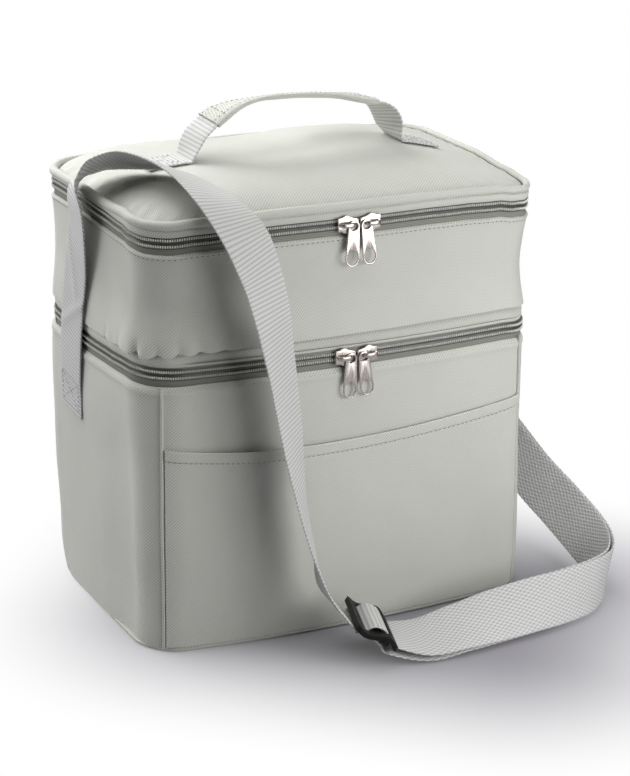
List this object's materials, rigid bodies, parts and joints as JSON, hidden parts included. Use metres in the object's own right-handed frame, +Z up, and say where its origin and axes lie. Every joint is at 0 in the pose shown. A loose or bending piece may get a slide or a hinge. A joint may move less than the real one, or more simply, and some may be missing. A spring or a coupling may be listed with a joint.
{
  "type": "two-compartment cooler bag",
  "caption": "Soft insulated cooler bag with two zipped compartments, a front slip pocket, a top handle and a shoulder strap.",
  "frame": {"origin": "on the floor under the middle of the bag, in the bottom panel's underside", "axes": "+Z up, -Y out of the front with the pocket, +X to the right seen from the front"},
  "size_m": [0.3807, 0.2929, 0.3599],
  "materials": {
    "outer_fabric": "light grey polyester twill",
    "piping_fabric": "same twill wrapped over cord",
    "lining_film": "wipe-clean silver-grey film",
    "foam_pad": "closed-cell foam",
    "zip_tape": "woven grey zip tape",
    "zip_coil": "grey nylon coil",
    "webbing": "ribbed light grey webbing",
    "nickel": "polished nickel plate",
    "black_plastic": "moulded black acetal"
  },
  "bodies": {
    "base": {"bottom_panel": "outer_fabric", "bottom_piping": "piping_fabric", "lower_base_foam": "foam_pad", "lower_front_panel": "outer_fabric", "lower_right_panel": "outer_fabric", "lower_back_panel": "outer_fabric", "lower_left_panel": "outer_fabric", "left_seam_piping": "piping_fabric", "right_seam_piping": "piping_fabric", "lower_front_foam": "foam_pad", "lower_right_foam": "foam_pad", "lower_back_foam": "foam_pad", "lower_left_foam": "foam_pad", "lower_lining": "lining_film", "front_pocket": "outer_fabric", "lower_zip_lower_tape": "zip_tape", "lower_zip_lower_coil": "zip_coil", "lower_hinge_strip": "outer_fabric", "strap_sewn_end": "webbing", "ring_tab": "webbing", "strap_long_run": "webbing", "strap_running_ply": "webbing", "strap_return_ply": "webbing", "slide_adjuster": "black_plastic"},
    "upper_compartment": {"lower_zip_upper_tape": "zip_tape", "lower_zip_upper_coil": "zip_coil", "upper_wall": "outer_fabric", "upper_back_panel": "outer_fabric", "upper_front_foam": "foam_pad", "upper_right_foam": "foam_pad", "upper_back_foam": "foam_pad", "upper_left_foam": "foam_pad", "partition_panel": "foam_pad", "upper_lining": "lining_film", "upper_zip_lower_tape": "zip_tape", "upper_zip_lower_coil": "zip_coil", "upper_hinge_strip": "outer_fabric"},
    "lid": {"lid_band": "outer_fabric", "lid_piping": "piping_fabric", "lid_top_panel": "outer_fabric", "lid_foam": "foam_pad", "lid_lining": "lining_film", "upper_zip_upper_tape": "zip_tape", "upper_zip_upper_coil": "zip_coil", "handle_left_tail": "webbing", "handle_right_tail": "webbing"},
    "handle": {"handle_webbing": "webbing", "handle_grip": "outer_fabric"},
    "lower_left_zip_slider": {"lower_left_slider": "nickel"},
    "lower_right_zip_slider": {"lower_right_slider": "nickel"},
    "upper_left_zip_slider": {"upper_left_slider": "nickel"},
    "upper_right_zip_slider": {"upper_right_slider": "nickel"},
    "lower_left_zip_tab": {"lower_left_pull_tab": "nickel"},
    "lower_right_zip_tab": {"lower_right_pull_tab": "nickel"},
    "upper_left_zip_tab": {"upper_left_pull_tab": "nickel"},
    "upper_right_zip_tab": {"upper_right_pull_tab": "nickel"},
    "ring": {"strap_ring": "black_plastic"}
  },
  "joints": [
    {"name": "upper_compartment_hinge", "type": "hinge", "parent": "base", "child": "upper_compartment", "pos_m": [0, 0.104, 0.2], "axis": [-1, 0, 0], "range_deg": [0, 105], "deforming": ["lower_hinge_strip", "strap_long_run"]},
    {"name": "lid_hinge", "type": "hinge", "parent": "upper_compartment", "child": "lid", "pos_m": [0, 0.104, 0.2925], "axis": [-1, 0, 0], "range_deg": [0, 120], "deforming": ["upper_hinge_strip", "strap_long_run"]},
    {"name": "handle_hinge", "type": "hinge", "parent": "lid", "child": "handle", "pos_m": [0, 0, 0.3215], "axis": [1, 0, 0], "range_deg": [-50, 50], "stiffness_Nm_per_rad": 0.05, "deforming": ["handle_webbing"]},
    {"name": "lower_left_slider_travel", "type": "hinge", "parent": "base", "child": "lower_left_zip_slider", "pos_m": [0, 1.021, 0.2], "axis": [0, 0, -1], "range_deg": [0, 5.3]},
    {"name": "lower_right_slider_travel", "type": "hinge", "parent": "base", "child": "lower_right_zip_slider", "pos_m": [0, 1.021, 0.2], "axis": [0, 0, 1], "range_deg": [0, 5.3]},
    {"name": "upper_left_slider_travel", "type": "hinge", "parent": "upper_compartment", "child": "upper_left_zip_slider", "pos_m": [0, 1.021, 0.2925], "axis": [0, 0, -1], "range_deg": [0, 5.3], "deforming": ["strap_long_run"]},
    {"name": "upper_right_slider_travel", "type": "hinge", "parent": "upper_compartment", "child": "upper_right_zip_slider", "pos_m": [0, 1.021, 0.2925], "axis": [0, 0, 1], "range_deg": [0, 5.3]},
    {"name": "lower_left_tab_swing", "type": "hinge", "parent": "lower_left_zip_slider", "child": "lower_left_zip_tab", "pos_m": [-0.0046, -0.107, 0.2], "axis": [0, 1, 0], "range_deg": [0, 45]},
    {"name": "lower_right_tab_swing", "type": "hinge", "parent": "lower_right_zip_slider", "child": "lower_right_zip_tab", "pos_m": [0.0046, -0.107, 0.2], "axis": [0, -1, 0], "range_deg": [0, 40]},
    {"name": "upper_left_tab_swing", "type": "hinge", "parent": "upper_left_zip_slider", "child": "upper_left_zip_tab", "pos_m": [-0.0046, -0.107, 0.2925], "axis": [0, 1, 0], "range_deg": [0, 45]},
    {"name": "upper_right_tab_swing", "type": "hinge", "parent": "upper_right_zip_slider", "child": "upper_right_zip_tab", "pos_m": [0.0046, -0.107, 0.2925], "axis": [0, -1, 0], "range_deg": [0, 40]},
    {"name": "ring_swing", "type": "hinge", "parent": "base", "child": "ring", "pos_m": [0.15523, 0.034, 0.153], "axis": [0, -1, 0], "range_deg": [0, 60], "deforming": ["strap_running_ply", "strap_return_ply"]}
  ]
}
